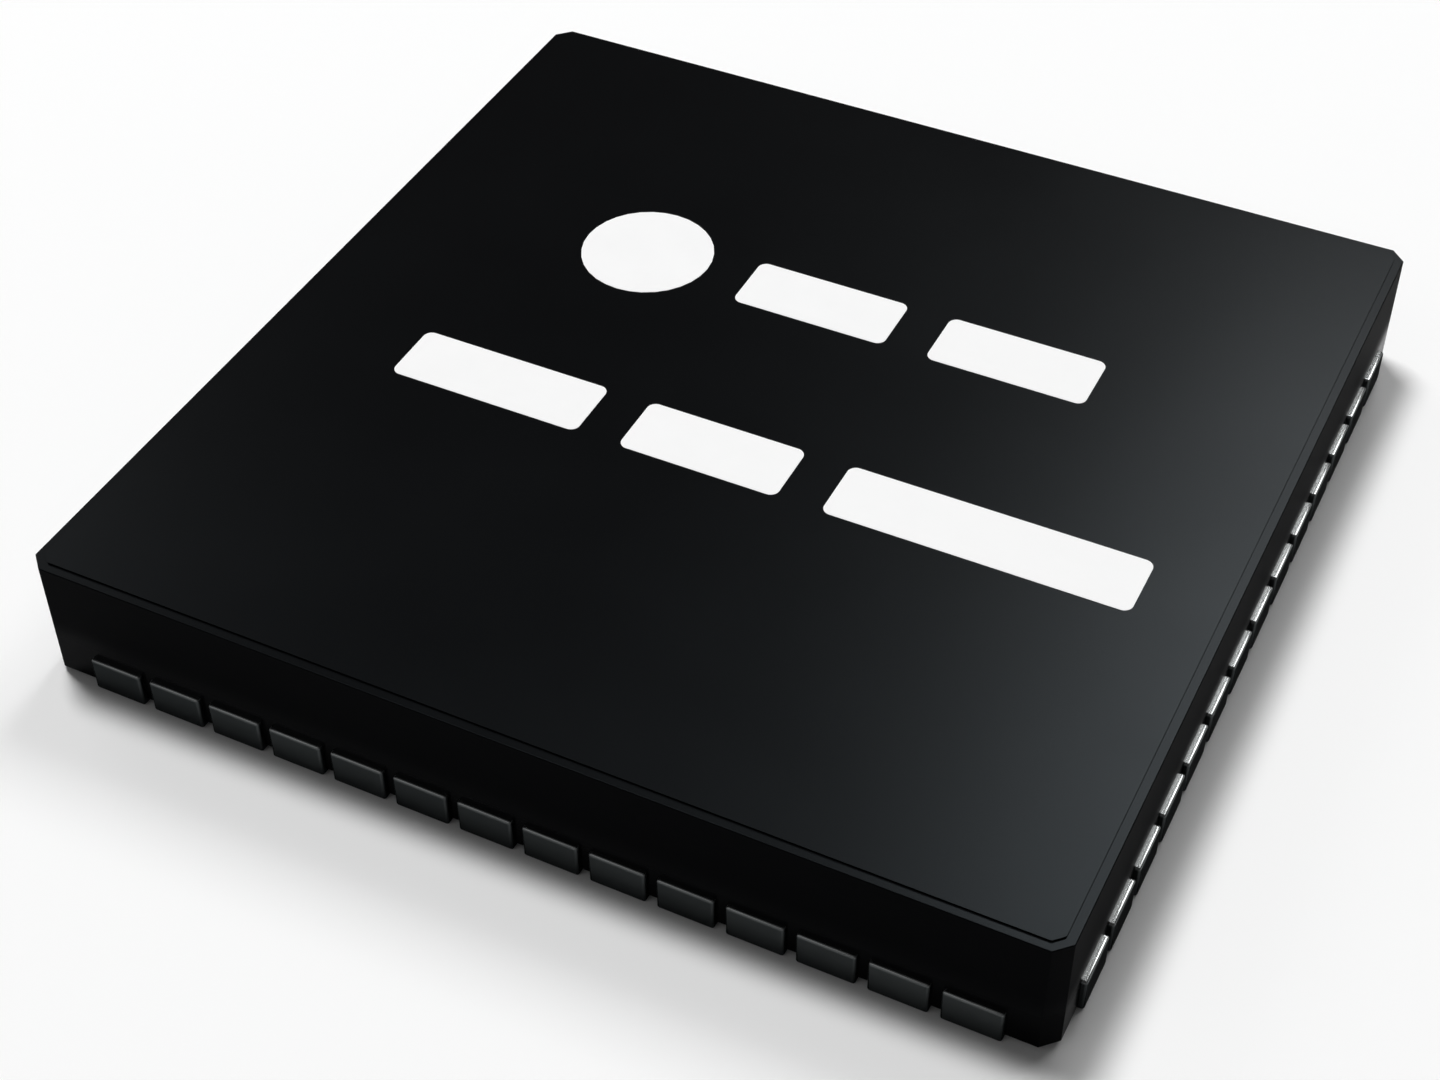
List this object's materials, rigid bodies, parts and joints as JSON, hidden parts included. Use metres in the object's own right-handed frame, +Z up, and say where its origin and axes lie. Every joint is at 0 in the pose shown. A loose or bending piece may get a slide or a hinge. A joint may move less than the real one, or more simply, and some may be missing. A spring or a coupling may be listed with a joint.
{
  "type": "microcontroller",
  "caption": "Square black leadless chip package: low moulded body with cut corners, rows of short leads along the foot of each wall and a bare metal pad underneath.",
  "frame": {"origin": "middle of the seating plane, under the middle of the body", "axes": "+Z up out of the circuit board, through the top face; the front wall faces -Y and +X runs along it; the lead numbered one is on the -X wall at its +Y end"},
  "size_m": [0.0078, 0.0078, 0.001],
  "materials": {
    "mould_compound": "satin black epoxy",
    "lead_metal": "satin plated metal",
    "silicon": "polished silicon",
    "gold_wire": "bright gold",
    "mark_ink": "white marking ink"
  },
  "bodies": {
    "root": {"mould_body": "mould_compound", "die_paddle": "lead_metal", "die": "silicon", "bond_wires": "gold_wire", "lead_01": "lead_metal", "lead_02": "lead_metal", "lead_03": "lead_metal", "lead_04": "lead_metal", "lead_05": "lead_metal", "lead_06": "lead_metal", "lead_07": "lead_metal", "lead_08": "lead_metal", "lead_09": "lead_metal", "lead_10": "lead_metal", "lead_11": "lead_metal", "lead_12": "lead_metal", "lead_13": "lead_metal", "lead_14": "lead_metal", "lead_15": "lead_metal", "lead_16": "lead_metal", "lead_17": "lead_metal", "lead_18": "lead_metal", "lead_19": "lead_metal", "lead_20": "lead_metal", "lead_21": "lead_metal", "lead_22": "lead_metal", "lead_23": "lead_metal", "lead_24": "lead_metal", "lead_25": "lead_metal", "lead_26": "lead_metal", "lead_27": "lead_metal", "lead_28": "lead_metal", "lead_29": "lead_metal", "lead_30": "lead_metal", "lead_31": "lead_metal", "lead_32": "lead_metal", "lead_33": "lead_metal", "lead_34": "lead_metal", "lead_35": "lead_metal", "lead_36": "lead_metal", "lead_37": "lead_metal", "lead_38": "lead_metal", "lead_39": "lead_metal", "lead_40": "lead_metal", "lead_41": "lead_metal", "lead_42": "lead_metal", "lead_43": "lead_metal", "lead_44": "lead_metal", "lead_45": "lead_metal", "lead_46": "lead_metal", "lead_47": "lead_metal", "lead_48": "lead_metal", "lead_49": "lead_metal", "lead_50": "lead_metal", "lead_51": "lead_metal", "lead_52": "lead_metal", "lead_53": "lead_metal", "lead_54": "lead_metal", "lead_55": "lead_metal", "lead_56": "lead_metal"}
  },
  "joints": []
}
